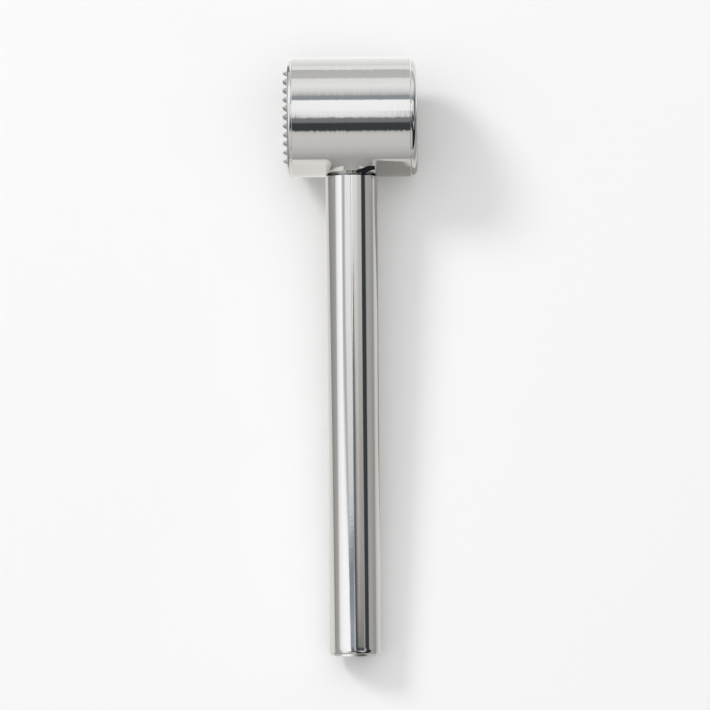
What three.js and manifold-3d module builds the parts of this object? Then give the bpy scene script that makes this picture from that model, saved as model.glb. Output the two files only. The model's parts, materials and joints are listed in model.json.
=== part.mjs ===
// A polished stainless-steel meat tenderizer: a drum head with a toothed and a smooth
// striking disc, on a round tube handle. It lies on its side, as on a worktop, on the
// drum and the low edge of the handle's end. Millimetres, +Z up, handle towards -Y.
import * as THREE from "three";
import { mergeVertices } from "three/addons/utils/BufferGeometryUtils.js";
import Module from "manifold-3d";

const wasm = await Module();
wasm.setup();

// Driving sizes
const drumDiameter = 52;
const barrelLength = 51.6;
const handleDiameter = 22.4; // where it leaves the neck
const handleEndDiameter = 22;
const handleReach = 234; // from the drum's axis to the end of the handle

// Clearances
const seatGap = 0.3; // left where two pieces seat, screw or press together
const cutOverrun = 1; // how far a cutter runs past the face that it leaves through

// Barrel and neck
const barrelWall = 5.2;
const barrelEdgeRound = 0.4;
const neckRise = 0.1; // how far the neck's end face stands proud of the barrel
const neckRoot = 3; // how deep the neck's blend is sunk in the wall that carries it
const neckDiameter = 19; // of the end face, which the handle's mouth overlaps
const neckFootWidth = 23.4; // of the blend's foot on the barrel, along the drum
const neckFootHeight = 31; // of the same foot, over the top and under the bottom
const neckTopLean = THREE.MathUtils.degToRad(45); // of the blend where it leaves the end
const neckSideLean = THREE.MathUtils.degToRad(70);

// Striking discs
const discStep = 0.6; // how far a disc lies below the barrel's surface
const smoothDiscLand = 0.3; // straight edge of the disc, before its rounding
const smoothDiscRound = 2.3;
const toothedDiscLand = 0.2;
const toothedDiscRound = 1.4;
const spigotLength = 6;
const sealSection = 1.5;
const sealInset = 0.9; // from a disc's seat to its seal groove

// Teeth, in a diamond lattice
const toothPitch = 5.4;
const toothHeight = 1.9;
const toothBase = 2.8; // corner to corner
const toothTip = 0.5;
const toothRoot = 0.4; // how deep a tooth is rooted in the disc
const toothMargin = 3.3; // bare ring between the outermost teeth and the rounding
const latticeTurn = THREE.MathUtils.degToRad(6); // where the disc stands once screwed tight

// Studs, named for their threads' diameters
const discStudDiameter = 10;
const discStudBite = 12; // in the core
const discStudFloor = 2.4; // steel left in front of a disc's stud hole
const handleStudDiameter = 12;
const handleStudBite = 12.4; // in the core
const studChamfer = 1;
const hexAcrossFlats = 5;
const hexDepth = 5;

// Core
const coreChamfer = 0.8;

// Handle
const tubeWall = 2;
const tubeEndCrown = 3; // length of the rounding at the handle's end
const tubeEndInset = 1.2; // how far the rounding draws the end in
const tubeMouthChamfer = 0.2;
const topPlugLength = 22;
const topPlugChamfer = 0.8;
const neckSealThickness = 1.2;
const neckSealWidth = 2.4;
const endCapLength = 6;
const endCapFloor = 2.5;
const endCapRim = 2;

// Facets
const drumFacets = 80;
const handleFacets = 64;
const innerFacets = 36;
const roundSteps = 4;
const edgeSteps = 2;
const neckFacets = 80;
const neckSteps = 6;
const sealSteps = 6;
const liePasses = 40;

// Sizes that follow
const drumRadius = drumDiameter / 2;
const barrelHalf = barrelLength / 2;
const boreRadius = drumRadius - barrelWall;
const spigotRadius = boreRadius - seatGap;
const discRadius = drumRadius - discStep;
const discSeat = barrelHalf + seatGap;
const smoothDiscFace = discSeat + smoothDiscLand + smoothDiscRound;
const toothedDiscFace = discSeat + toothedDiscLand + toothedDiscRound;
const spigotEnd = discSeat - spigotLength;
const coreHalf = spigotEnd - seatGap;
const coreRadius = boreRadius - seatGap;
const handleRadius = handleDiameter / 2;
const handleEndRadius = handleEndDiameter / 2;
const neckPlane = drumRadius + neckRise;
const neckRadius = neckDiameter / 2;
const tubeStart = neckPlane + seatGap;
const tubeBore = handleEndRadius - tubeWall;
const plugRadius = tubeBore - seatGap;
const topPlugStart = tubeStart + neckSealThickness + seatGap;
const topPlugEnd = topPlugStart + topPlugLength;
const discStudRadius = discStudDiameter / 2;
const handleStudRadius = handleStudDiameter / 2;
const discStudHole = discStudRadius + seatGap;
const handleStudHole = handleStudRadius + seatGap;

// How far the handle's rounded end reaches from the drum's axis, in a direction that
// leans by an angle from square across the handle towards its end.
function endSupport(angle) {
  const along = (handleReach - tubeEndCrown) * Math.sin(angle);
  const across = (handleEndRadius - tubeEndInset) * Math.cos(angle);
  const crown = Math.hypot(tubeEndCrown * Math.sin(angle), tubeEndInset * Math.cos(angle));
  return along + across + crown;
}

// The angle at which the handle slopes down when the drum and the handle's end both
// touch the worktop, found by halving.
function findLieAngle() {
  let level = 0;
  let steep = Math.PI / 4;
  for (let pass = 0; pass < liePasses; pass++) {
    const middle = (level + steep) / 2;
    if (endSupport(middle) < drumRadius) level = middle;
    else steep = middle;
  }
  return level;
}
const lieAngle = findLieAngle();

// A closed lathe body: profile points are [radius, height], running up the outside.
function lathe(profile, facets) {
  const points = profile.map(([radius, height]) => new THREE.Vector2(radius, height));
  return new THREE.LatheGeometry(points, facets);
}

// Points of a quarter round about a centre, from facing down the axis to facing out, or
// on from there to facing up it.
function roundPoints(radius, height, inset, rise, startAngle, steps) {
  const points = [];
  for (let step = 0; step <= steps; step++) {
    const angle = startAngle + ((Math.PI / 2) * step) / steps;
    points.push([radius + inset * Math.cos(angle), height + rise * Math.sin(angle)]);
  }
  return points;
}

function cylinder(radius, bottom, top, facets) {
  const profile = [[0, bottom], [radius, bottom], [radius, top], [0, top]];
  return lathe(profile, facets);
}

function solidOf(geometry) {
  const bare = geometry.clone();
  bare.deleteAttribute("normal");
  bare.deleteAttribute("uv");
  const merged = mergeVertices(bare);
  const vertProperties = merged.attributes.position.array;
  const triVerts = new Uint32Array(merged.index.array);
  return new wasm.Manifold(new wasm.Mesh({ numProp: 3, vertProperties, triVerts }));
}

function geometryOf(solid) {
  const mesh = solid.getMesh();
  const positions = new THREE.BufferAttribute(mesh.vertProperties, mesh.numProp);
  const geometry = new THREE.BufferGeometry();
  geometry.setAttribute("position", positions);
  geometry.setIndex(new THREE.BufferAttribute(mesh.triVerts, 1));
  geometry.computeVertexNormals();
  return geometry;
}

function steel(color, roughness) {
  return new THREE.MeshStandardMaterial({ color, roughness, metalness: 1 });
}

function silicone() {
  return new THREE.MeshStandardMaterial({ color: 0x2b2d2e, roughness: 0.6, metalness: 0 });
}

function piece(name, geometry, material) {
  const mesh = new THREE.Mesh(geometry, material);
  mesh.name = name;
  return mesh;
}

// Lathe bodies run along +Y as they are made. These turn them onto the tool's axes.
function alongSmoothSide(mesh) {
  mesh.rotation.z = -Math.PI / 2;
  return mesh;
}

function alongToothedSide(mesh) {
  mesh.rotation.z = Math.PI / 2;
  return mesh;
}

function alongHandle(mesh) {
  mesh.rotation.z = Math.PI;
  return mesh;
}

// The blend's foot on the barrel, at an angle round the neck: it starts from the drum's
// side and runs over the top. The foot is an ellipse, wrapped on the barrel.
function neckFoot(angle) {
  const across = (neckFootWidth / 2) * Math.cos(angle);
  const up = (neckFootHeight / 2) * Math.sin(angle);
  return new THREE.Vector3(across, -Math.sqrt(drumRadius ** 2 - up ** 2), up);
}

// One section of the neck's saddle: it leaves the end face's rim at a lean, meets the
// barrel without a crease, and runs on to a point sunk in the barrel's wall.
function neckBlendSection(angle) {
  const rim = new THREE.Vector3(Math.cos(angle), 0, Math.sin(angle));
  const sideShare = Math.cos(angle) ** 2;
  const lean = neckTopLean + (neckSideLean - neckTopLean) * sideShare;
  const leaving = rim.clone().multiplyScalar(Math.sin(lean));
  leaving.y = Math.cos(lean);
  rim.multiplyScalar(neckRadius);
  rim.y = -neckPlane;
  const foot = neckFoot(angle);
  const fromBarrel = new THREE.Vector3(0, foot.y, foot.z).normalize();
  const drop = (drumRadius - fromBarrel.dot(rim)) / fromBarrel.dot(leaving);
  const corner = rim.clone().addScaledVector(leaving, drop);
  const section = new THREE.QuadraticBezierCurve3(rim, corner, foot).getPoints(neckSteps);
  section.push(foot.clone().addScaledVector(fromBarrel, -neckRoot));
  return section;
}

// The neck as a closed body: its sections in a ring, fanned shut at both ends.
function neckGeometry() {
  const rings = neckSteps + 2;
  const positions = [];
  for (let turn = 0; turn < neckFacets; turn++) {
    const angle = (2 * Math.PI * turn) / neckFacets;
    neckBlendSection(angle).forEach((point) => positions.push(...point.toArray()));
  }
  const endCentre = neckFacets * rings;
  positions.push(0, -neckPlane, 0);
  const rootCentre = endCentre + 1;
  positions.push(0, neckRoot - drumRadius, 0);
  const faces = [];
  for (let turn = 0; turn < neckFacets; turn++) {
    const here = turn * rings;
    const next = ((turn + 1) % neckFacets) * rings;
    for (let ring = 0; ring < rings - 1; ring++) {
      faces.push(here + ring, here + ring + 1, next + ring);
      faces.push(next + ring, here + ring + 1, next + ring + 1);
    }
    faces.push(endCentre, here, next);
    faces.push(rootCentre, next + rings - 1, here + rings - 1);
  }
  const geometry = new THREE.BufferGeometry();
  geometry.setAttribute("position", new THREE.Float32BufferAttribute(positions, 3));
  geometry.setIndex(faces);
  return geometry;
}

// The barrel: a thick tube, blended into the neck that carries the handle.
function headBarrel() {
  const edge = drumRadius - barrelEdgeRound;
  const shoulder = barrelHalf - barrelEdgeRound;
  const profile = [
    [0, -barrelHalf],
    ...roundPoints(edge, -shoulder, barrelEdgeRound, barrelEdgeRound, -Math.PI / 2, edgeSteps),
    ...roundPoints(edge, shoulder, barrelEdgeRound, barrelEdgeRound, 0, edgeSteps),
    [0, barrelHalf],
  ];
  const outside = lathe(profile, drumFacets).rotateZ(-Math.PI / 2);
  const reach = barrelHalf + cutOverrun;
  const bore = cylinder(boreRadius, -reach, reach, drumFacets).rotateZ(-Math.PI / 2);
  const studHole = cylinder(handleStudHole, 0, neckPlane + cutOverrun, innerFacets);
  studHole.rotateZ(Math.PI);
  const shell = solidOf(outside)
    .add(solidOf(neckGeometry()))
    .subtract(solidOf(bore))
    .subtract(solidOf(studHole));
  return piece("head_barrel", geometryOf(shell), steel(0xd2d1cd, 0.08));
}

// A striking disc: rounded flange, spigot with its seal groove, and blind stud hole.
function discGeometry(face, round) {
  const grooveFloor = boreRadius - sealSection - 2 * seatGap;
  const grooveTop = discSeat - sealInset;
  const grooveEnd = grooveTop - sealSection - 2 * seatGap;
  const holeTop = face - discStudFloor;
  const profile = [
    [0, holeTop],
    [discStudHole, holeTop],
    [discStudHole, spigotEnd],
    [spigotRadius, spigotEnd],
    [spigotRadius, grooveEnd],
    [grooveFloor, grooveEnd],
    [grooveFloor, grooveTop],
    [spigotRadius, grooveTop],
    [spigotRadius, discSeat],
    [discRadius, discSeat],
    ...roundPoints(discRadius - round, face - round, round, round, 0, roundSteps),
    [0, face],
  ];
  return lathe(profile, drumFacets);
}

function smoothDisc() {
  const geometry = discGeometry(smoothDiscFace, smoothDiscRound);
  return alongSmoothSide(piece("smooth_disc", geometry, steel(0xd4d3cf, 0.07)));
}

// One tooth: a blunted pyramid whose corners point along the lattice's two ways.
function toothGeometry() {
  const flare = (toothBase - toothTip) / toothHeight; // width gained per unit of depth
  const rootWidth = toothBase + flare * toothRoot;
  const height = toothHeight + toothRoot;
  const tooth = new THREE.CylinderGeometry(toothTip / 2, rootWidth / 2, height, 4);
  return tooth.translate(0, toothedDiscFace - toothRoot + height / 2, 0);
}

// Every second place of a square grid holds a tooth, so they lie in a diamond lattice.
function toothedDisc() {
  const spacing = toothPitch / Math.SQRT2;
  const flatRadius = discRadius - toothedDiscRound;
  const fieldRadius = flatRadius - toothMargin - toothBase / 2;
  const reach = Math.floor(fieldRadius / spacing);
  let disc = solidOf(discGeometry(toothedDiscFace, toothedDiscRound));
  for (let row = -reach; row <= reach; row++) {
    for (let column = -reach; column <= reach; column++) {
      const between = (row + column) % 2 === 0;
      if (between || spacing * Math.hypot(row, column) > fieldRadius) continue;
      const tooth = toothGeometry().translate(column * spacing, 0, row * spacing);
      disc = disc.add(solidOf(tooth));
    }
  }
  const mesh = alongToothedSide(piece("toothed_disc", geometryOf(disc), steel(0xcfcecb, 0.12)));
  mesh.rotation.x = latticeTurn;
  return mesh;
}

// The ring that seals a disc's spigot in the barrel.
function discSeal(name) {
  const section = sealSection / 2;
  const radius = boreRadius - seatGap - section;
  const height = discSeat - sealInset - seatGap - section;
  const profile = [];
  for (let step = 0; step <= sealSteps; step++) {
    const angle = (2 * Math.PI * (step % sealSteps)) / sealSteps;
    const offset = [section * Math.cos(angle), section * Math.sin(angle)];
    profile.push([radius + offset[0], height + offset[1]]);
  }
  return piece(name, lathe(profile, innerFacets), silicone());
}

// A chamfered stud with a hexagon socket in its far end.
function studGeometry(radius, start, end) {
  const neckIn = radius - studChamfer;
  const profile = [
    [0, start],
    [neckIn, start],
    [radius, start + studChamfer],
    [radius, end - studChamfer],
    [neckIn, end],
    [0, end],
  ];
  const hexRadius = hexAcrossFlats / Math.sqrt(3);
  const cutter = cylinder(hexRadius, end - hexDepth, end + cutOverrun, 6);
  return geometryOf(solidOf(lathe(profile, innerFacets)).subtract(solidOf(cutter)));
}

function discStud(name, face) {
  const start = coreHalf - discStudBite + seatGap;
  const end = face - discStudFloor - seatGap;
  const geometry = studGeometry(discStudRadius, start, end);
  return piece(name, geometry, steel(0xa9a8a3, 0.35));
}

// The steel slug that fills the barrel and takes the three studs.
function headCore() {
  const profile = [
    [0, -coreHalf],
    [coreRadius - coreChamfer, -coreHalf],
    [coreRadius, coreChamfer - coreHalf],
    [coreRadius, coreHalf - coreChamfer],
    [coreRadius - coreChamfer, coreHalf],
    [0, coreHalf],
  ];
  const slug = lathe(profile, drumFacets).rotateZ(-Math.PI / 2);
  const holeFloor = coreHalf - discStudBite;
  const endHole = cylinder(discStudHole, holeFloor, coreHalf + cutOverrun, innerFacets);
  const sideHole = cylinder(
    handleStudHole,
    coreRadius - handleStudBite,
    coreRadius + cutOverrun,
    innerFacets,
  );
  const core = solidOf(slug)
    .subtract(solidOf(endHole.clone().rotateZ(-Math.PI / 2)))
    .subtract(solidOf(endHole.clone().rotateZ(Math.PI / 2)))
    .subtract(solidOf(sideHole.rotateZ(Math.PI)));
  return piece("head_core", geometryOf(core), steel(0x8f8f8d, 0.45));
}

// The stud that draws the handle onto the neck.
function handleStud() {
  const start = coreRadius - handleStudBite + seatGap;
  const geometry = studGeometry(handleStudRadius, start, topPlugEnd);
  return alongHandle(piece("handle_stud", geometry, steel(0xa9a8a3, 0.35)));
}

// The flat ring in the handle's mouth that seals it against the neck.
function neckSeal() {
  const start = tubeStart;
  const end = start + neckSealThickness;
  const outer = plugRadius;
  const inner = outer - neckSealWidth;
  const profile = [[inner, start], [outer, start], [outer, end], [inner, end], [inner, start]];
  return alongHandle(piece("neck_seal", lathe(profile, innerFacets), silicone()));
}

// The threaded plug welded inside the top of the handle.
function handleTopPlug() {
  const profile = [
    [handleStudHole, topPlugStart],
    [plugRadius, topPlugStart],
    [plugRadius, topPlugEnd - topPlugChamfer],
    [plugRadius - topPlugChamfer, topPlugEnd],
    [handleStudHole, topPlugEnd],
    [handleStudHole, topPlugStart],
  ];
  const geometry = lathe(profile, innerFacets);
  return alongHandle(piece("handle_top_plug", geometry, steel(0xa2a19d, 0.4)));
}

function handleTube() {
  const crownRadius = handleEndRadius - tubeEndInset;
  const crownStart = handleReach - tubeEndCrown;
  const profile = [
    [tubeBore, tubeStart],
    [handleRadius - tubeMouthChamfer, tubeStart],
    [handleRadius, tubeStart + tubeMouthChamfer],
    ...roundPoints(crownRadius, crownStart, tubeEndInset, tubeEndCrown, 0, roundSteps),
    [tubeBore, handleReach],
    [tubeBore, tubeStart],
  ];
  const geometry = lathe(profile, handleFacets);
  return alongHandle(piece("handle_tube", geometry, steel(0xd2d1cd, 0.07)));
}

// The cup pressed and welded into the handle's end, flush with its rim.
function handleEndCap() {
  const start = handleReach - endCapLength;
  const hollow = plugRadius - endCapRim;
  const profile = [
    [0, handleReach - endCapFloor],
    [hollow, handleReach - endCapFloor],
    [hollow, start],
    [plugRadius, start],
    [plugRadius, handleReach],
    [0, handleReach],
  ];
  const geometry = lathe(profile, handleFacets);
  return alongHandle(piece("handle_end_cap", geometry, steel(0xcfcecb, 0.1)));
}

// The tool, with the drum along X and the handle along -Y.
const tool = new THREE.Group();
tool.add(
  headBarrel(),
  headCore(),
  smoothDisc(),
  alongSmoothSide(discSeal("smooth_disc_seal")),
  alongSmoothSide(discStud("smooth_disc_stud", smoothDiscFace)),
  toothedDisc(),
  alongToothedSide(discSeal("toothed_disc_seal")),
  alongToothedSide(discStud("toothed_disc_stud", toothedDiscFace)),
  handleStud(),
  neckSeal(),
  handleTopPlug(),
  handleTube(),
  handleEndCap(),
);

// Laid down, with the origin on the worktop under the middle of the whole tool.
const toothedReach = toothedDiscFace + toothHeight;
const handleEndReach = endSupport(Math.PI / 2 - lieAngle);
tool.rotation.x = lieAngle;
tool.position.x = (toothedReach - smoothDiscFace) / 2;
tool.position.y = (handleEndReach - drumRadius) / 2;
tool.position.z = drumRadius;

const tenderizer = new THREE.Group();
tenderizer.add(tool);
export default tenderizer;
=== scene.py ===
# A polished stainless-steel meat tenderizer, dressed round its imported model: a drum head
# with a toothed and a smooth disc, on a round tube handle. It lies on a pale worktop.
import json
import math

import bmesh
import bpy
from mathutils import Matrix, Vector


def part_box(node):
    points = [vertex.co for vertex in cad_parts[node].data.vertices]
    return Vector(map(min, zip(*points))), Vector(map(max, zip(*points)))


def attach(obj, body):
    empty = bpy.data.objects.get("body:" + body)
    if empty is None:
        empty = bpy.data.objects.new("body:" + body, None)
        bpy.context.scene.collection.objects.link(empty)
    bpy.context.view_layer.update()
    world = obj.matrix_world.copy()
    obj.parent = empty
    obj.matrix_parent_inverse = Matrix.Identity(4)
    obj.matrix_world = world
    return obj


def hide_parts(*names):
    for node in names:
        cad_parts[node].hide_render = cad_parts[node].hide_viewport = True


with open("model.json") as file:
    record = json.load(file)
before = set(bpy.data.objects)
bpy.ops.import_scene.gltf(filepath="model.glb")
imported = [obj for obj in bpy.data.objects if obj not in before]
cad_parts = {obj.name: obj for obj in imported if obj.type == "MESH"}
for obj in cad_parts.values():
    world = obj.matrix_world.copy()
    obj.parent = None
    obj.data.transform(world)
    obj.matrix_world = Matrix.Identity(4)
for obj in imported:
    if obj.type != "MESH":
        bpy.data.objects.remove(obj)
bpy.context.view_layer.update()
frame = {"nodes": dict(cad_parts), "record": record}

# Head barrel: a thick tube with the neck that carries the handle blended out of its side.
# Stainless steel, turned, with the neck welded on and dressed until no seam shows. The
# shapes are worked in millimetres with the drum along X and the handle along -Y.
MM = 0.001
drum_radius = 26
barrel_wall = 5.2
barrel_edge_round = 0.2
neck_plane = 26.1  # of the neck's end face, from the drum's axis
neck_radius = 9.5  # of the end face, which the handle's mouth overlaps
neck_end_round = 0.15
neck_root = 3  # how deep the blend is sunk in the barrel's wall
neck_foot_half_width = 11.7
neck_foot_half_height = 15.5
neck_top_lean = math.radians(45)
neck_side_lean = math.radians(70)
handle_stud_hole = 6.3
drum_facets = 256
neck_facets = 192
neck_steps = 18
neck_end_steps = 2
edge_steps = 4
hole_facets = 64
overrun = 1  # how far a cutter runs past the face that it leaves through
merge_distance = 0.004
crease = math.radians(32)  # edges sharper than this stay crisp

barrel_low, barrel_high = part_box("head_barrel")
disc_low, disc_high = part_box("smooth_disc")
mounts = {mount["name"]: mount for mount in frame["record"]["mounts"]}
handle_axis = Vector(mounts["handle_end"]["axis"])
drum_centre = Vector((
    (barrel_low.x + barrel_high.x) / 2,
    (disc_low.y + disc_high.y) / 2,
    (disc_low.z + disc_high.z) / 2,
))
lie_angle = math.atan2(-handle_axis.z, -handle_axis.y)
tool_turn = Matrix.Rotation(lie_angle, 4, "X")
tool_place = Matrix.Translation(drum_centre) @ tool_turn @ Matrix.Scale(MM, 4)
barrel_half = (barrel_high.x - barrel_low.x) / 2 / MM
bore_radius = drum_radius - barrel_wall


def spun(profile, steps, closed=True):
    """A profile of (place along X, radius) points, turned once round the X axis."""
    body = bmesh.new()
    verts = [body.verts.new((along, 0, radius)) for along, radius in profile]
    pairs = list(zip(verts, verts[1:])) + ([(verts[-1], verts[0])] if closed else [])
    edges = [body.edges.new(pair) for pair in pairs]
    bmesh.ops.spin(
        body, geom=verts + edges, axis=(1, 0, 0), cent=(0, 0, 0),
        angle=math.tau, steps=steps, use_merge=True,
    )
    bmesh.ops.remove_doubles(body, verts=body.verts, dist=merge_distance)
    bmesh.ops.recalc_face_normals(body, faces=body.faces)
    return body


def rings_at(body, radius, *planes):
    """The edges of a turned body's rings of a radius, in planes across X."""
    return [
        edge for edge in body.edges
        if all(math.hypot(*vert.co.yz) > radius - merge_distance for vert in edge.verts)
        and any(
            all(abs(vert.co.x - plane) < merge_distance for vert in edge.verts)
            for plane in planes
        )
    ]


def round_edges(body, edges, offset, steps):
    bmesh.ops.bevel(
        body, geom=edges, offset=offset, offset_type="OFFSET", affect="EDGES",
        segments=steps, profile=0.5, material=-1,
    )


def object_of(body, name):
    mesh = bpy.data.meshes.new(name)
    body.to_mesh(mesh)
    body.free()
    made = bpy.data.objects.new(name, mesh)
    bpy.context.scene.collection.objects.link(made)
    return made


def joined(body, other, operation):
    """One body united with another, or cut by it, as a new body."""
    base = object_of(body, "base")
    tool = object_of(other, "tool")
    change = base.modifiers.new("join", "BOOLEAN")
    change.object = tool
    change.operation = operation
    change.solver = "EXACT"
    shaped = base.evaluated_get(bpy.context.evaluated_depsgraph_get())
    result = bmesh.new()
    result.from_mesh(shaped.to_mesh())
    shaped.to_mesh_clear()
    for used in (base, tool):
        bpy.data.objects.remove(used)
    bmesh.ops.remove_doubles(result, verts=result.verts, dist=merge_distance)
    bmesh.ops.dissolve_degenerate(result, edges=result.edges, dist=merge_distance)
    return result


def piece(body, name, material, node):
    """Lays a body where the tool lies, with crisp creases, in place of a modelled node."""
    bmesh.ops.transform(body, matrix=tool_place, verts=body.verts)
    for face in body.faces:
        face.smooth = True
    for edge in body.edges:
        edge.smooth = edge.calc_face_angle(0) < crease
    made = object_of(body, name)
    made.data.materials.append(material)
    normals = made.modifiers.new("even shading", "WEIGHTED_NORMAL")
    normals.keep_sharp = True
    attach(made, "root")
    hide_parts(node)


def neck_section(angle):
    """The saddle's section at an angle round the handle, from its rim to the barrel."""
    across = neck_foot_half_width * math.cos(angle)
    up = neck_foot_half_height * math.sin(angle)
    foot = Vector((across, -math.sqrt(drum_radius**2 - up**2), up))
    lean = neck_top_lean + (neck_side_lean - neck_top_lean) * math.cos(angle) ** 2
    leaving = Vector((
        math.cos(angle) * math.sin(lean), math.cos(lean), math.sin(angle) * math.sin(lean)
    ))
    rim = Vector((
        neck_radius * math.cos(angle), -neck_plane, neck_radius * math.sin(angle)
    ))
    outward = Vector((0, foot.y, foot.z)).normalized()
    corner = rim + leaving * ((drum_radius - outward.dot(rim)) / outward.dot(leaving))
    shares = [step / neck_steps for step in range(neck_steps + 1)]
    section = [
        rim * (1 - share) ** 2 + corner * 2 * share * (1 - share) + foot * share**2
        for share in shares
    ]
    return section + [foot - outward * neck_root]


def neck_body():
    """Rings extruded from the end face's rim up the saddle into the barrel's wall."""
    body = bmesh.new()
    turn = body.verts.layers.float.new("turn")
    ring = bmesh.ops.create_circle(body, segments=neck_facets, radius=neck_radius)["verts"]
    for vert in ring:
        vert[turn] = math.atan2(vert.co.y, vert.co.x)
        vert.co = neck_section(vert[turn])[0]
    bmesh.ops.contextual_create(body, geom=body.edges[:])
    edges = body.edges[:]
    for step in range(1, neck_steps + 2):
        grown = bmesh.ops.extrude_edge_only(body, edges=edges)["geom"]
        ring = [part for part in grown if isinstance(part, bmesh.types.BMVert)]
        edges = [part for part in grown if isinstance(part, bmesh.types.BMEdge)]
        for vert in ring:
            vert.co = neck_section(vert[turn])[step]
    root = bmesh.ops.contextual_create(body, geom=edges)["faces"]
    for centre in bmesh.ops.poke(body, faces=root)["verts"]:
        centre.co = (0, neck_root - drum_radius, 0)
    bmesh.ops.recalc_face_normals(body, faces=body.faces)
    rim = [
        edge for edge in body.edges
        if all(abs(vert.co.y + neck_plane) < merge_distance for vert in edge.verts)
    ]
    round_edges(body, rim, neck_end_round, neck_end_steps)
    return body


def barrel_body():
    body = spun([
        (-barrel_half, bore_radius), (-barrel_half, drum_radius),
        (barrel_half, drum_radius), (barrel_half, bore_radius),
    ], drum_facets)
    rings = rings_at(body, drum_radius, -barrel_half, barrel_half)
    round_edges(body, rings, barrel_edge_round, edge_steps)
    body = joined(body, neck_body(), "UNION")
    drill = bmesh.new()
    depth = neck_plane + overrun - bore_radius / 2
    bmesh.ops.create_cone(
        drill, cap_ends=True, segments=hole_facets, radius1=handle_stud_hole,
        radius2=handle_stud_hole, depth=depth,
        matrix=Matrix.Translation((0, -bore_radius / 2 - depth / 2, 0))
        @ Matrix.Rotation(math.pi / 2, 4, "X"),
    )
    return joined(body, drill, "DIFFERENCE")


def linear(code):
    """A hex colour as it looks on screen, as the linear colour that shaders use."""
    parts = [int(code[place:place + 2], 16) / 255 for place in (0, 2, 4)]
    lit = [
        part / 12.92 if part <= 0.04045 else ((part + 0.055) / 1.055) ** 2.4
        for part in parts
    ]
    return (*lit, 1)


def add(tree, kind, inputs=None, stops=None, **settings):
    """Adds a node with its settings, the values or links of its inputs, and its stops."""
    node = tree.nodes.new(kind)
    for name, value in settings.items():
        setattr(node, name, value)
    for socket, source in (inputs or {}).items():
        if isinstance(source, bpy.types.NodeSocket):
            tree.links.new(source, node.inputs[socket])
        else:
            node.inputs[socket].default_value = source
    for place, (position, value) in enumerate(stops or []):
        ramp = node.color_ramp.elements
        stop = ramp[place] if place < 2 else ramp.new(position)
        stop.position = position
        stop.color = value
    return node


# Mirror-polished stainless steel. Buffing leaves faint lines round the piece, a slow
# waviness that bends long reflections, and a few tiny nicks that catch the light. On the
# drum, fine turning lines under the polish also fray the edges of what it mirrors.
steel_colours = ("d5d5d5", "d1d1d0")
steel_roughness = 0.06
haze_shares = (0.85, 1.2)  # of the roughness, from the clearest place to the haziest
line_width_mm = 0.9  # drawn coarser than the real buffing lines, so that they show
line_length_mm = 4
wave_length_mm = 24
nick_spacing_mm = 2.4
nick_radius_share = 0.07  # of the spacing
nick_share = 0.12  # of the places that hold one
nick_roughness = 0.45
fray_width_mm = 0.45
fray_length_mm = 5
fray_lean = 0.011  # of the drum's surface at a turning line, in radians
fray_noise = (0.35, 0.65)  # the noise at which it leans fully one way and the other
barrel_line_depth_mm = 0.006
barrel_wave_depth_mm = 0.02


def stretched(tree, place, width_mm, length_mm, along_x):
    """Places for a noise of lines that run across X, or across the handle."""
    fine, coarse = 1 / (width_mm * MM), 1 / (length_mm * MM)
    return add(tree, "ShaderNodeMapping", {
        "Vector": place,
        "Scale": (fine, coarse, coarse) if along_x else (coarse, fine, coarse),
    }).outputs["Vector"]


def frayed(tree, place, normal):
    """Leans the surface to and fro round the X axis, from one turning line to the next."""
    turning = add(tree, "ShaderNodeTexNoise", {
        "Vector": stretched(tree, place, fray_width_mm, fray_length_mm, True),
        "Scale": 1, "Detail": 2, "Roughness": 0.6,
    })
    lean = add(tree, "ShaderNodeMapRange", {
        "Value": turning.outputs["Fac"], "From Min": fray_noise[0], "From Max": fray_noise[1],
        "To Min": -fray_lean, "To Max": fray_lean,
    })
    round_x = add(tree, "ShaderNodeVectorMath", {
        0: add(tree, "ShaderNodeNewGeometry").outputs["Normal"], 1: (1, 0, 0),
    }, operation="CROSS_PRODUCT")
    shift = add(tree, "ShaderNodeVectorMath", {
        0: round_x.outputs[0], "Scale": lean.outputs["Result"]
    }, operation="SCALE")
    leaning = add(tree, "ShaderNodeVectorMath", {0: normal, 1: shift.outputs[0]})
    return add(tree, "ShaderNodeVectorMath", {
        0: leaning.outputs[0]
    }, operation="NORMALIZE").outputs[0]


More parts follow.
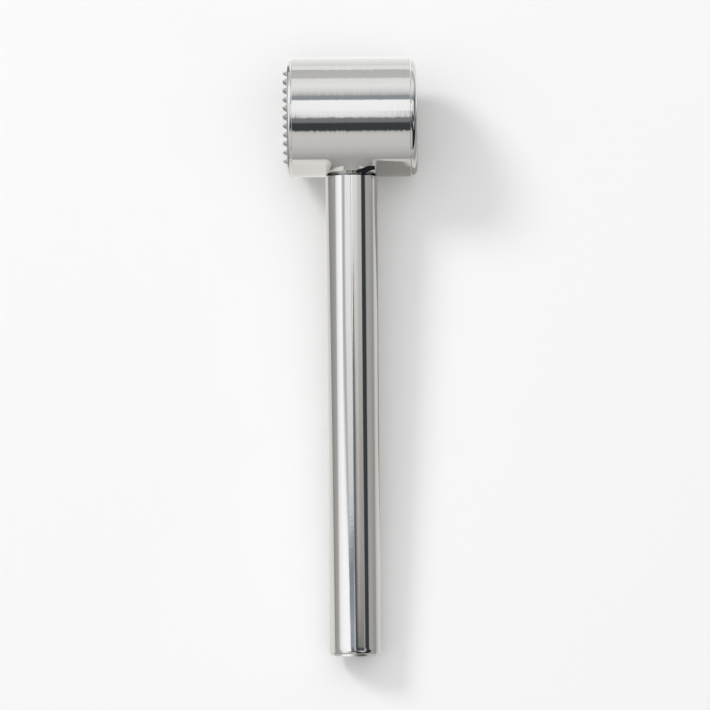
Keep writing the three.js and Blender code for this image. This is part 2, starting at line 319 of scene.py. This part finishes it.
def polished_steel(name, along_x, line_depth_mm, wave_depth_mm, is_frayed=False):
    """Polished steel with its buffing lines across X, or across the handle."""
    material = bpy.data.materials.new(name)
    material.use_nodes = True
    tree = material.node_tree
    shader = tree.nodes["Principled BSDF"]
    place = add(tree, "ShaderNodeTexCoord").outputs["Object"]
    flat = add(tree, "ShaderNodeMapping", {
        "Vector": place, "Rotation": (-lie_angle, 0, 0)
    }).outputs["Vector"]
    lines = add(tree, "ShaderNodeTexNoise", {
        "Vector": stretched(tree, flat, line_width_mm, line_length_mm, along_x),
        "Scale": 1, "Detail": 3, "Roughness": 0.6,
    }).outputs["Fac"]
    waves = add(tree, "ShaderNodeTexNoise", {
        "Vector": flat, "Scale": 1 / (wave_length_mm * MM), "Detail": 1.5,
    }).outputs["Fac"]
    line_bump = add(tree, "ShaderNodeBump", {
        "Height": lines, "Distance": line_depth_mm * MM, "Strength": 1,
    }).outputs["Normal"]
    normal = add(tree, "ShaderNodeBump", {
        "Height": waves, "Distance": wave_depth_mm * MM, "Strength": 1, "Normal": line_bump,
    }).outputs["Normal"]
    if is_frayed:
        normal = frayed(tree, flat, normal)
    cells = add(tree, "ShaderNodeTexVoronoi", {
        "Vector": place, "Scale": 1 / (nick_spacing_mm * MM), "Randomness": 1,
    })
    near = add(tree, "ShaderNodeMapRange", {
        "Value": cells.outputs["Distance"], "From Min": nick_radius_share, "From Max": 0,
    }).outputs["Result"]
    chance = add(tree, "ShaderNodeSeparateColor", {
        "Color": cells.outputs["Color"]
    }).outputs["Red"]
    chosen = add(tree, "ShaderNodeMath", {
        0: chance, 1: nick_share
    }, operation="LESS_THAN").outputs[0]
    nicks = add(tree, "ShaderNodeMath", {0: near, 1: chosen}, operation="MULTIPLY").outputs[0]
    haze = add(tree, "ShaderNodeMapRange", {
        "Value": waves, "To Min": steel_roughness * haze_shares[0],
        "To Max": steel_roughness * haze_shares[1],
    }).outputs["Result"]
    rough = add(tree, "ShaderNodeMath", {
        0: nicks, 1: nick_roughness, 2: haze,
    }, operation="MULTIPLY_ADD").outputs[0]
    tint = add(tree, "ShaderNodeMix", {
        "Factor": lines, 6: linear(steel_colours[0]), 7: linear(steel_colours[1]),
    }, data_type="RGBA").outputs[2]
    shader.inputs["Metallic"].default_value = 1
    tree.links.new(tint, shader.inputs["Base Color"])
    tree.links.new(rough, shader.inputs["Roughness"])
    tree.links.new(normal, shader.inputs["Normal"])
    return material


barrel_steel = polished_steel(
    "polished stainless barrel", True, barrel_line_depth_mm, barrel_wave_depth_mm, True
)
piece(barrel_body(), "drum_barrel", barrel_steel, "head_barrel")

# Striking discs: each is turned from stainless bar, with a spigot that seats in the barrel,
# a groove for its seal and a blind hole for its stud. One face is plain, the other is cut
# into teeth.
seat_gap = 0.3
disc_radius = 25.4
spigot_length = 6
groove_setback = 0.9  # from the seat
groove_width = 2.1
groove_depth = 1.8
disc_stud_hole = 5.3
disc_stud_floor = 2.4
smooth_disc_rim = 2.6
smooth_disc_round = 2.3
toothed_disc_rim = 1.6
toothed_disc_round = 1.4
disc_seat = barrel_half + seat_gap
spigot_radius = bore_radius - seat_gap
spigot_end = disc_seat - spigot_length
groove_top = disc_seat - groove_setback
groove_end = groove_top - groove_width
groove_floor = spigot_radius - groove_depth
smooth_disc_face = disc_seat + smooth_disc_rim
toothed_disc_face = disc_seat + toothed_disc_rim
disc_round_steps = 12
disc_line_depth_mm = 0.005
disc_wave_depth_mm = 0.015


def disc_body(face, rounding):
    body = spun([
        (face - disc_stud_floor, 0), (face - disc_stud_floor, disc_stud_hole),
        (spigot_end, disc_stud_hole), (spigot_end, spigot_radius),
        (groove_end, spigot_radius), (groove_end, groove_floor),
        (groove_top, groove_floor), (groove_top, spigot_radius),
        (disc_seat, spigot_radius), (disc_seat, disc_radius),
        (face, disc_radius), (face, 0),
    ], drum_facets, closed=False)
    round_edges(body, rings_at(body, disc_radius, face), rounding, disc_round_steps)
    return body


disc_steel = polished_steel(
    "polished stainless disc", True, disc_line_depth_mm, disc_wave_depth_mm
)
smooth_body = disc_body(smooth_disc_face, smooth_disc_round)
piece(smooth_body, "smooth_striking_disc", disc_steel, "smooth_disc")

# The teeth are blunted pyramids in a diamond lattice, milled from the disc's face, with
# their corners along the handle and up and down.
tooth_pitch = 5.4
tooth_height = 1.9
tooth_base = 2.8
tooth_tip = 0.7
tooth_root = 0.4
tooth_margin = 3.3
lattice_turn = math.radians(6)  # where the disc stands once screwed tight
tooth_edge_round = 0.2
tooth_edge_steps = 2


def toothed_body():
    spacing = tooth_pitch / math.sqrt(2)
    field = disc_radius - toothed_disc_round - tooth_margin - tooth_base / 2
    reach = int(field / spacing)
    flare = (tooth_base - tooth_tip) / tooth_height
    height = tooth_height + tooth_root
    middle = toothed_disc_face - tooth_root + height / 2
    teeth = bmesh.new()
    for row in range(-reach, reach + 1):
        for column in range(-reach, reach + 1):
            outside = spacing * math.hypot(row, column) > field
            if (row + column) % 2 == 0 or outside:
                continue
            bmesh.ops.create_cone(
                teeth, cap_ends=True, segments=4,
                radius1=(tooth_base + flare * tooth_root) / 2, radius2=tooth_tip / 2,
                depth=height,
                matrix=Matrix.Translation((middle, column * spacing, row * spacing))
                @ Matrix.Rotation(math.pi / 2, 4, "Y"),
            )
    round_edges(teeth, teeth.edges[:], tooth_edge_round, tooth_edge_steps)
    body = joined(disc_body(toothed_disc_face, toothed_disc_round), teeth, "UNION")
    bmesh.ops.rotate(
        body, verts=body.verts, cent=(0, 0, 0),
        matrix=Matrix.Rotation(lattice_turn, 3, "X") @ Matrix.Rotation(math.pi, 3, "Z"),
    )
    return body


piece(toothed_body(), "toothed_striking_disc", disc_steel, "toothed_disc")

# Handle: a drawn stainless tube that tapers slightly and is spun in at its far end. It is
# mirror polished along with the drum, and a little wavy along its length.
handle_reach = 234
handle_radius = 11.2
handle_end_radius = 11
tube_start = neck_plane + seat_gap
tube_bore = 9
tube_mouth_chamfer = 0.2
crown_length = 3
crown_inset = 1.2
crown_power = 3.2  # fuller than an ellipse, whose power is 2
crown_steps = 14
handle_facets = 192
handle_line_depth_mm = 0.004
handle_wave_depth_mm = 0.04


def turned_down(body):
    """From along X to along the handle."""
    bmesh.ops.rotate(
        body, verts=body.verts, cent=(0, 0, 0), matrix=Matrix.Rotation(-math.pi / 2, 3, "Z")
    )
    return body


def tube_body():
    quarter = [math.pi / 2 * step / crown_steps for step in range(crown_steps + 1)]
    crown = [
        (
            handle_reach - crown_length * (1 - abs(math.sin(angle)) ** (2 / crown_power)),
            handle_end_radius - crown_inset * (1 - abs(math.cos(angle)) ** (2 / crown_power)),
        )
        for angle in quarter
    ]
    return turned_down(spun([
        (tube_start, tube_bore), (tube_start, handle_radius - tube_mouth_chamfer),
        (tube_start + tube_mouth_chamfer, handle_radius), *crown, (handle_reach, tube_bore),
    ], handle_facets))


handle_steel = polished_steel(
    "polished stainless handle", False, handle_line_depth_mm, handle_wave_depth_mm
)
piece(tube_body(), "handle_shell", handle_steel, "handle_tube")

# End cap: a shallow cup of the same steel, pressed into the tube's end, welded there and
# polished flush.
cap_radius = tube_bore - seat_gap
cap_length = 6
cap_floor = 2.5
cap_rim = 2
cap_edge_round = 0.12
cap_edge_steps = 2


def cap_body():
    body = spun([
        (handle_reach - cap_floor, 0), (handle_reach - cap_floor, cap_radius - cap_rim),
        (handle_reach - cap_length, cap_radius - cap_rim),
        (handle_reach - cap_length, cap_radius), (handle_reach, cap_radius),
        (handle_reach, 0),
    ], handle_facets, closed=False)
    round_edges(body, rings_at(body, cap_radius, handle_reach), cap_edge_round, cap_edge_steps)
    return turned_down(body)


piece(cap_body(), "handle_end_cup", handle_steel, "handle_end_cap")

# Inner pieces, carried over as modelled: the turned core and plug, whose tool marks dull
# them, the studs of bright drawn rod, and the black seals, moulded of matt silicone rubber.
turning_mark_mm = 0.6
rubber_grain_mm = 0.8
dull_shares = (0.8, 1.2)  # of the roughness


def worked_finish(name, colours, metallic, roughness, grain_mm, depth_mm):
    material = bpy.data.materials.new(name)
    material.use_nodes = True
    tree = material.node_tree
    shader = tree.nodes["Principled BSDF"]
    place = add(tree, "ShaderNodeTexCoord").outputs["Object"]
    grain = add(tree, "ShaderNodeTexNoise", {
        "Vector": place, "Scale": 1 / (grain_mm * MM), "Detail": 3,
    }).outputs["Fac"]
    tint = add(tree, "ShaderNodeMix", {
        "Factor": grain, 6: linear(colours[0]), 7: linear(colours[1]),
    }, data_type="RGBA").outputs[2]
    bump = add(tree, "ShaderNodeBump", {"Height": grain, "Distance": depth_mm * MM})
    rough = add(tree, "ShaderNodeMapRange", {
        "Value": grain, "To Min": roughness * dull_shares[0],
        "To Max": roughness * dull_shares[1],
    }).outputs["Result"]
    shader.inputs["Metallic"].default_value = metallic
    tree.links.new(tint, shader.inputs["Base Color"])
    tree.links.new(rough, shader.inputs["Roughness"])
    tree.links.new(bump.outputs["Normal"], shader.inputs["Normal"])
    return material


turned_steel = worked_finish(
    "turned steel", ("9a9a97", "8b8b89"), 1, 0.4, turning_mark_mm, 0.01
)
bright_steel = worked_finish(
    "bright drawn steel", ("b5b4af", "a3a29e"), 1, 0.3, turning_mark_mm, 0.006
)
black_rubber = worked_finish(
    "moulded silicone rubber", ("26282a", "1c1e20"), 0, 0.6, rubber_grain_mm, 0.02
)
inner_finishes = {
    "head_core": turned_steel,
    "smooth_disc_stud": bright_steel,
    "toothed_disc_stud": bright_steel,
    "handle_stud": bright_steel,
    "handle_top_plug": turned_steel,
    "smooth_disc_seal": black_rubber,
    "toothed_disc_seal": black_rubber,
    "neck_seal": black_rubber,
}
for node, material in inner_finishes.items():
    frame["nodes"][node].material_slots[0].material = material

# Worktop: a plain slab of pale honed stone, which is matt and takes the tool's soft shadow.
# The steel mirrors it through the painted card that follows the lamp.
floor_half = 9
stone_roughness = 0.7
stone_gloss = 0.1
floor_body = bmesh.new()
bmesh.ops.create_grid(floor_body, x_segments=1, y_segments=1, size=floor_half)
floor = object_of(floor_body, "worktop")
honed_stone = bpy.data.materials.new("honed pale stone")
honed_stone.use_nodes = True
stone_shader = honed_stone.node_tree.nodes["Principled BSDF"]
stone_shader.inputs["Base Color"].default_value = linear("f8f8f8")
stone_shader.inputs["Roughness"].default_value = stone_roughness
stone_shader.inputs["Specular IOR Level"].default_value = stone_gloss
floor.data.materials.append(honed_stone)
floor.visible_glossy = False

# Key lamp: one soft lamp from the upper left, which the steel doesn't mirror. The rest of
# the light comes from all round.
key_share = 0.22
key_direction = Vector((-0.62, 0.5, 0.7)).normalized()
key_distance = 3.6
key_size = 1.1
key_light = bpy.data.lights.new("key lamp", "AREA")
key_light.shape = "DISK"
key_light.size = key_size
key_light.energy = key_share * math.pi**2 * key_distance**2 / key_direction.z
key = bpy.data.objects.new("key lamp", key_light)
key.location = key_direction * key_distance
key.rotation_euler = key_direction.to_track_quat("Z", "Y").to_euler()
key.visible_glossy = False
bpy.context.scene.collection.objects.link(key)

# Mirrored worktop: a glowing card with a painted reflection of the surface that the tool lies
# on, which only polished steel sees. It is pale near the tool and grey further off, with a
# painted shadow of the tool on the right, a painted dark reflection that the teeth mirror,
# and a painted contact shadow under the handle's end, which the end's rim mirrors as streaks.
steel_reflectance = 0.65
worktop_lift = 0.0002
soft_edge = 0.002
pale_slope = -0.22  # of the pale part's edges, across the tool for each metre along it
pale_end = -0.14  # where the pale part ends beyond the handle
shadow_blur = (0.002, -0.0015)  # across the shadow's right edge
shadow_start = (0.004, 0.008)  # right of the handle's middle
far_start = (0.118, 0.128)  # where the part beyond the head starts
far_half = (0.5, 0.4)
# A painted dark reflection beyond the head, which the teeth mirror: its right, left and near
# edges.
teeth_dark_reflection = ((-0.05, -0.06), (-0.17, -0.15), (0.135, 0.145))  # its right, left and near edges
# Painted contact shadow under the handle's end, which its rim mirrors: near and far edges, half
# width.
end_shadow_near, end_shadow_far, end_shadow_half = -0.139, -0.126, 0.013


def seen(code):
    """The light that polished steel shows as this colour."""
    return (*(part / steel_reflectance for part in linear(code)[:3]), 1)


def banded(tree, value, low, high, *bands):
    """Colours along a reach, as the steel shows them, or shares where numbers are given."""
    stops = [
        (
            (place - low) / (high - low),
            seen(shown) if isinstance(shown, str) else (shown, shown, shown, 1),
        )
        for place, shown in bands
    ]
    along = add(tree, "ShaderNodeMapRange", {
        "Value": value, "From Min": low, "From Max": high
    }).outputs["Result"]
    return add(tree, "ShaderNodeValToRGB", {0: along}, stops).outputs["Color"]


def within(tree, *edges):
    """How far inside a patch a place lies, from 0 to 1. Each edge is a value, the place
    where it starts and the place where it is full."""
    share = None
    for value, start, full in edges:
        risen = add(tree, "ShaderNodeMapRange", {
            "Value": value, "From Min": start, "From Max": full
        }).outputs["Result"]
        share = risen if share is None else add(tree, "ShaderNodeMath", {
            0: share, 1: risen
        }, operation="MULTIPLY").outputs[0]
    return share


def laid_over(tree, base, paint, *edges):
    """A paint laid over another inside a patch."""
    return add(tree, "ShaderNodeMix", {
        0: within(tree, *edges), 6: base, 7: paint
    }, data_type="RGBA").outputs[2]


def darkened(tree, paint, shares, *edges):
    """A paint multiplied by shares inside a patch."""
    dark = add(tree, "ShaderNodeMix", {
        0: 1, 6: paint, 7: shares
    }, data_type="RGBA", blend_type="MULTIPLY").outputs[2]
    return laid_over(tree, paint, dark, *edges) if edges else dark


def card(body, name, paint):
    """A glowing card that only polished steel sees, painted through a function."""
    made = object_of(body, name)
    material = bpy.data.materials.new(name)
    material.use_nodes = True
    tree = material.node_tree
    tree.nodes.clear()
    spot = add(tree, "ShaderNodeSeparateXYZ", {
        0: add(tree, "ShaderNodeTexCoord").outputs["Object"]
    })
    glow = add(tree, "ShaderNodeEmission", {
        "Color": paint(tree, spot.outputs["X"], spot.outputs["Y"]), "Strength": 1
    })
    add(tree, "ShaderNodeOutputMaterial", {"Surface": glow.outputs[0]})
    made.data.materials.append(material)
    made.visible_camera = False
    made.visible_diffuse = False
    made.visible_transmission = False
    made.visible_shadow = False


def worktop_paint(tree, x, y):
    slanted = add(tree, "ShaderNodeMath", {
        0: y, 1: pale_slope, 2: x
    }, operation="MULTIPLY_ADD").outputs[0]
    pale = banded(
        tree, slanted, -0.5, 0.5, (-0.5, "959491"), (-0.16, "908e8b"), (-0.065, "868480"),
        (-0.06, "c5c3c0"), (-0.03, "cdcbc6"), (-0.012, "d4d2ce"), (0.03, "c4c2be"),
        (0.055, "bfbdb9"), (0.07, "b2b0ac"), (0.082, "918f8b"), (0.5, "94938f"),
    )
    shadow_reach = banded(
        tree, y, -0.1, 0.1, (-0.09, 0.012), (-0.064, 0.017), (-0.035, 0.0245),
        (0.023, 0.026), (0.049, 0.037), (0.071, 0.054), (0.1, 0.06),
    )
    from_shadow = add(tree, "ShaderNodeMath", {
        0: x, 1: shadow_reach
    }, operation="SUBTRACT").outputs[0]
    shade = banded(
        tree, x, 0, 0.06, (0.01, "757470"), (0.02, "807f7b"), (0.03, "868480"),
        (0.06, "8f8d89"),
    )
    shaded = laid_over(tree, pale, shade, (from_shadow, *shadow_blur), (x, *shadow_start))
    grey = banded(
        tree, y, -1, 0, (-1, "a2a19e"), (-0.4, "9c9b98"), (-0.2, "949391"), (-0.12, "918f8c"),
    )
    near = laid_over(tree, grey, shaded, (y, pale_end - soft_edge, pale_end + soft_edge))
    far = banded(
        tree, y, 0.1, 1.3, (0.13, "d8d8d7"), (0.14, "e0e0df"), (0.148, "e2e2e1"),
        (0.18, "dadad9"), (0.224, "d1d1d0"), (0.25, "cdcdcb"), (0.288, "dbdbda"),
        (0.44, "dcdcdb"), (0.8, "d7d7d6"), (1.02, "c4c4c2"), (1.1, "b2b1af"),
    )
    # Painted dark reflection, which the teeth mirror, laid on the far part of the worktop card.
    right, left, front = teeth_dark_reflection
    far_with_dark_reflection = laid_over(tree, far, seen("747270"), (x, *right), (x, *left), (y, *front))
    half = add(tree, "ShaderNodeMath", {0: x}, operation="ABSOLUTE").outputs[0]
    whole = laid_over(tree, near, far_with_dark_reflection, (y, *far_start), (half, *far_half))
    # Painted shade: the contact shadow under the handle's end, dark on its right and pale on
    # its left.
    end_shadow = banded(
        tree, x, -0.012, 0.012, (-0.009, "c9c8c5"), (-0.0075, "969591"), (-0.0056, "a5a4a0"),
        (-0.0048, "d3d2d0"), (-0.002, "d0cfcd"), (0.0008, "777776"), (0.0022, "4a4b4c"),
        (0.0046, "444546"), (0.0062, "979692"), (0.009, "a9a8a4"),
    )
    return laid_over(
        tree, whole, end_shadow, (y, end_shadow_far, end_shadow_far - soft_edge),
        (y, end_shadow_near, end_shadow_near + soft_edge),
        (half, end_shadow_half, end_shadow_half - soft_edge / 2),
    )


mirrored_body = bmesh.new()
bmesh.ops.create_grid(mirrored_body, x_segments=1, y_segments=1, size=floor_half)
bmesh.ops.translate(mirrored_body, verts=mirrored_body.verts, vec=(0, 0, worktop_lift))
card(mirrored_body, "mirrored_worktop", worktop_paint)

# Neck wedge card: a small black glowing card close by the handle's mouth, which only polished
# steel sees. Only the neck's right flank mirrors it, as a painted dark wedge.
neck_wedge_card_low = Vector((2.9, 78, 32.4)) * MM
neck_wedge_card_high = Vector((10.7, 78, 35.4)) * MM


def black_paint(tree, x, y):
    return seen("1c1e20")


neck_wedge_card_body = bmesh.new()
neck_wedge_card_body.faces.new([neck_wedge_card_body.verts.new(place) for place in (
    neck_wedge_card_low, (neck_wedge_card_high.x, neck_wedge_card_low.y, neck_wedge_card_low.z),
    neck_wedge_card_high, (neck_wedge_card_low.x, neck_wedge_card_low.y, neck_wedge_card_high.z),
)])
card(neck_wedge_card_body, "neck_wedge_card", black_paint)

# Overhead softbox: a broad cloth panel, near enough that the drum and the handle mirror
# different parts of it. Its left is lit and its right dim, with a dark pole along the seam,
# a grey fold aslant on the far left, a dim hem beside the drum and a notch over the handle.
softbox_height = 1.73
softbox_left, softbox_right = -1.75, 1.6
softbox_near, softbox_far = -0.571, 0.79
notch_half = 0.048
notch_end = 0.058
softbox_outline = [
    (softbox_left, softbox_far), (softbox_left, 0.02), (-1.5, -0.02), (-1.1, -0.045),
    (-0.9, -0.062), (-0.8, -0.09), (-0.72, -0.115), (-0.64, -0.14), (-0.56, -0.17),
    (-0.56, softbox_near), (-notch_half, softbox_near), (-notch_half, notch_end),
    (notch_half, notch_end), (notch_half, softbox_near), (softbox_right, softbox_near),
    (softbox_right, softbox_far),
]
dim_start = (0.06, 0.1)  # right of the pole's edge
pole_place = -0.017  # of its left edge, where it is level with the drawing's origin
pole_widening = (0, 0.08)
pole_end = (0.12, 0.09)
fold_place = -1.33
fold_start = 0.11  # where the fold bends towards the handle's end
fold_slope = 3.2
fold_narrowing = (0.08, -0.08)
fold_side = (0.28, 0.45)  # where it ends, right of its middle
fold_end = (-0.06, -0.08)
hem_start = (0.05, 0.07)


def lit_cloth(tree, y):
    return banded(
        tree, y, softbox_near, softbox_far, (softbox_near, "5a6064"), (-0.19, "6b7074"),
        (-0.165, "83888b"), (-0.148, "9a9ea1"), (-0.126, "868c91"), (-0.105, "727980"),
        (-0.085, "757c83"), (-0.077, "9ea3a6"), (-0.068, "c2c4c6"), (-0.05, "cacccc"),
        (0, "cecfcf"), (0.035, "d5d5d5"), (0.082, "dbdbdb"), (0.161, "e1e1e1"),
        (softbox_far, "e6e6e6"),
    )


def dim_cloth(tree, x, y):
    cloth = banded(
        tree, y, softbox_near, softbox_far, (softbox_near, "4c5256"), (-0.18, "56595b"),
        (-0.16, "5c5e5f"), (-0.152, "858482"), (-0.146, "969591"), (-0.126, "9d9b97"),
        (-0.105, "a4a29e"), (-0.062, "b4b2ae"), (-0.012, "b8b6b2"), (0.035, "bfbdb9"),
        (0.082, "c7c5c1"), (0.161, "d6d4d1"), (softbox_far, "ececeb"),
    )
    return darkened(tree, cloth, banded(
        tree, x, 0, softbox_right, (0.48, 1), (0.64, 0.94), (0.92, 0.74),
        (softbox_right, 0.66),
    ))


def folded_cloth(tree, x, y):
    """The distance right of the fold's middle, and the cloth on both sides of it."""
    bent = add(tree, "ShaderNodeMath", {
        0: within(tree, (y, fold_start, fold_start - 1)), 1: -fold_slope, 2: x
    }, operation="MULTIPLY_ADD").outputs[0]
    beside = add(tree, "ShaderNodeMath", {
        0: bent, 1: fold_place
    }, operation="SUBTRACT").outputs[0]
    from_fold = add(tree, "ShaderNodeMath", {
        0: beside, 1: within(tree, (y, *fold_narrowing)), 2: beside
    }, operation="MULTIPLY_ADD").outputs[0]
    return from_fold, banded(
        tree, from_fold, -0.6, 0.7, (-0.6, "ececed"), (-0.5, "dcdddd"), (-0.28, "c0c2c3"),
        (-0.13, "a9abad"), (0, "a0a2a5"), (0.12, "aaacaf"), (0.26, "bcbebf"), (0.4, "cacccc"),
    )


def cloth_paint(tree, x, y):
    seam = add(tree, "ShaderNodeMath", {0: pole_place, 1: y}, operation="SUBTRACT").outputs[0]
    pole_edge = add(tree, "ShaderNodeMath", {
        0: seam, 1: notch_half
    }, operation="MAXIMUM").outputs[0]
    from_pole = add(tree, "ShaderNodeMath", {
        0: x, 1: pole_edge
    }, operation="SUBTRACT").outputs[0]
    halves = laid_over(tree, lit_cloth(tree, y), dim_cloth(tree, x, y), (from_pole, *dim_start))
    widened = add(tree, "ShaderNodeMath", {
        0: from_pole, 1: within(tree, (y, *pole_widening)), 2: from_pole
    }, operation="MULTIPLY_ADD").outputs[0]
    with_pole = darkened(tree, halves, banded(
        tree, widened, -0.1, 0.6, (-0.03, 1), (0, 0.2), (0.06, 0.15), (0.11, 0.2),
        (0.17, 0.34), (0.29, 0.6), (0.44, 0.88), (0.57, 1),
    ), (y, *pole_end))
    from_fold, fold = folded_cloth(tree, x, y)
    by_fold = laid_over(tree, fold, with_pole, (from_fold, *fold_side))
    with_fold = laid_over(tree, by_fold, with_pole, (y, *fold_end))
    hemmed = darkened(tree, with_fold, banded(
        tree, x, -0.2, 0, (-0.15, 1), (-0.13, 0.35), (-0.1, 0.35), (-0.08, 1),
    ), (y, *hem_start))
    over_notch = banded(
        tree, y, softbox_near, softbox_far, (notch_end, "e7e7e7"), (0.134, "e9e9e9"),
        (0.193, "ededed"), (softbox_far, "efefef"),
    )
    half = add(tree, "ShaderNodeMath", {0: x}, operation="ABSOLUTE").outputs[0]
    return laid_over(tree, hemmed, over_notch, (half, notch_half + MM, notch_half))


softbox_body = bmesh.new()
softbox_body.faces.new([
    softbox_body.verts.new((x, y, softbox_height)) for x, y in softbox_outline
])
card(softbox_body, "overhead_softbox", cloth_paint)

# Studio: the far walls that the polished steel mirrors. Across the drum it is a wall of
# lights and flags by the angle from overhead; across the handle it is another, and they
# fade into each other between.
across_slant = 0.25  # how far the walls beside the handle lean along it
slant_turn = (-0.1, 0.1)  # where their lean changes sides
least_side = 0.035  # the drum's ends lean less than this, and still mirror its own wall
side_shares = (0.3, 0.7)  # where the one wall starts to fade, and where the other is full
world = bpy.data.worlds.new("studio")
bpy.context.scene.world = world
world.use_nodes = True
sky = world.node_tree
sky.nodes.clear()
direction = add(sky, "ShaderNodeTexCoord").outputs["Generated"]
split = add(sky, "ShaderNodeSeparateXYZ", {0: direction})
dx, dy, dz = (split.outputs[name] for name in "XYZ")


def sum_of(*parts):
    """Adds up products of pairs."""
    total = 0
    for first, second in parts:
        total = add(sky, "ShaderNodeMath", {
            0: first, 1: second, 2: total
        }, operation="MULTIPLY_ADD").outputs[0]
    return total


def wall(across, up, *bands):
    """What a wall shows by the angle from overhead, in degrees."""
    angle = add(sky, "ShaderNodeMath", {0: across, 1: up}, operation="ARCTAN2").outputs[0]
    return banded(sky, angle, -math.pi, math.pi, *(
        (math.radians(degrees), shown) for degrees, shown in bands
    ))


drum_wall = wall(
    dy, dz, (-91, "a09f9c"), (-83, "adaca9"), (-74, "b5b4b1"), (-66, "bcbbb9"),
    (-52, "bfbebb"), (-44, "bebcb9"), (-38.5, "b2b0ad"), (-37.5, "36393b"),
    (-21.8, "36393b"), (-21.2, "6c6d70"), (-11.8, "78797b"), (-11.2, "d4d4d4"),
    (-8.5, "dadada"), (-7, "e2e2e2"), (-1.42, "e7e7e7"), (-1.34, "8f9499"),
    (-0.5, "8d9297"), (0.1, "74777a"), (0.7, "656769"), (1.5, "6c6e70"), (1.9, "e4e4e4"),
    (21, "eeeeee"), (22, "868b8f"), (30.5, "868b8f"), (31.5, "a8a8a7"), (39, "c9c9c8"),
    (44, "d5d5d4"), (52, "dfdfde"), (68.5, "d7d7d6"), (70.5, "b5b4b2"), (91, "b1b0ae"),
)
size_x, size_y = (
    add(sky, "ShaderNodeMath", {0: part}, operation="ABSOLUTE").outputs[0] for part in (dx, dy)
)
sideways = within(sky, (size_x, least_side, 1))
side_share = add(sky, "ShaderNodeMath", {
    0: sideways, 1: sum_of((sideways, 1), (size_y, 1))
}, operation="DIVIDE").outputs[0]
side = add(sky, "ShaderNodeMapRange", {
    "Value": side_share, "From Min": side_shares[0], "From Max": side_shares[1]
}, interpolation_type="SMOOTHSTEP").outputs["Result"]
across_handle = sum_of(
    (within(sky, (dy, *slant_turn)), 2 * across_slant), (-across_slant, 1), (dx, 1)
)
handle_wall = wall(
    across_handle, dz, (-91, "959390"), (-84, "9b9996"), (-78, "9f9e9c"), (-74.5, "a8a7a5"),
    (-70, "d3d3d2"), (-65, "e2e2e2"), (-57, "ececec"), (-46, "f3f3f4"), (-20, "f4f4f5"),
    (0, "d4d3d0"), (10, "cfcdc9"), (38, "a2a19e"), (47, "9d9c99"), (48, "36393b"),
    (67.2, "36393b"), (68.2, "9b9a97"), (80, "9e9d9a"), (91, "989693"),
)
walls = add(sky, "ShaderNodeMix", {0: side, 6: drum_wall, 7: handle_wall}, data_type="RGBA")

# A dark stand is beyond the handle's end, on the right, and a white sheet hangs on the
# left, beyond the head. The discs' rims and the neck mirror them.
stand_edge = (-0.02, 0.02)
stand_foot = (0.14, 0.2)
sheet_right = (-0.06, -0.12)
sheet_near = (0.14, 0.18)
sheet_foot = (0.5, 0.56)
stand_top = wall(
    dx, sum_of((dy, -1)), (-180, 0), (3, 0), (8, 0.9), (35, 0.87), (48, 0.6), (84, 0.6),
    (87, 0), (180, 0),
)
under_top = sum_of((stand_top, 1), (dz, -1))
with_stand = laid_over(
    sky, walls.outputs[2], seen("222426"), (under_top, *stand_edge), (dz, *stand_foot)
)
mirrored = laid_over(
    sky, with_stand, seen("f8f8f9"), (dx, *sheet_right), (dy, *sheet_near), (dz, *sheet_foot)
)

# The world: pale to the camera, the studio to polished steel. To all else, also to the
# light that the steel throws back on the worktop, it is soft and stronger from the left.
fill_lean = (-0.0252, 0.0162)  # along X and Y: a little brighter from the upper left
fill_low = 0.1  # of the light, which comes evenly; the rest comes from overhead
throw_power = 8  # how narrow the lamp is in the light that the steel throws back
throw_gain = 2.5  # how bright it is there, beside the lamp itself
overhead = sum_of((dz, dz))
fill = sum_of(
    (dx, fill_lean[0]), (dy, fill_lean[1]), (overhead, 2 * (1 - fill_low)), (fill_low, 1)
)
rays = add(sky, "ShaderNodeLightPath")
toward_key = within(sky, (sum_of(*zip((dx, dy, dz), key_direction)), 0, 1))
thrown = add(sky, "ShaderNodeMath", {
    0: toward_key, 1: throw_power
}, operation="POWER").outputs[0]
by_steel = sum_of((thrown, rays.outputs["Is Glossy Ray"]))
throw_strength = throw_gain * key_share * (throw_power + 1) / 2 / key_direction.z
fill_strength = sum_of((fill, 1 - key_share), (by_steel, throw_strength))
even = add(sky, "ShaderNodeBackground", {"Color": linear("ffffff"), "Strength": fill_strength})
backdrop = add(sky, "ShaderNodeBackground", {"Color": linear("f7f7f7"), "Strength": 1})
studio = add(sky, "ShaderNodeBackground", {"Color": mirrored, "Strength": 1})
by_worktop = within(sky, (rays.outputs["Diffuse Depth"], 0, 1))
to_steel = add(sky, "ShaderNodeMixShader", {
    0: sum_of((rays.outputs["Is Glossy Ray"], 1), (by_worktop, -1)),
    1: even.outputs[0], 2: studio.outputs[0],
})
to_camera = add(sky, "ShaderNodeMixShader", {
    0: rays.outputs["Is Camera Ray"], 1: to_steel.outputs[0], 2: backdrop.outputs[0],
})
add(sky, "ShaderNodeOutputWorld", {"Surface": to_camera.outputs[0]})

# Camera: nearly overhead, from beyond the handle's end, where the photograph was taken. Its
# long lens is given in pixels of the picture's width.
camera_place = Vector((1.4, -446, 2800)) * MM
camera_pitch = math.radians(9.12)
camera_roll = math.radians(0.45)
focal_pixels = 6500.2
image_pixels = 710
camera_data = bpy.data.cameras.new("camera")
camera_data.sensor_width = 36
camera_data.lens = camera_data.sensor_width * focal_pixels / image_pixels
camera = bpy.data.objects.new("camera", camera_data)
camera.matrix_world = (
    Matrix.Translation(camera_place)
    @ Matrix.Rotation(camera_pitch, 4, "X")
    @ Matrix.Rotation(-camera_roll, 4, "Z")
)
bpy.context.scene.collection.objects.link(camera)
bpy.context.scene.camera = camera
bpy.context.scene.view_settings.view_transform = "Standard"
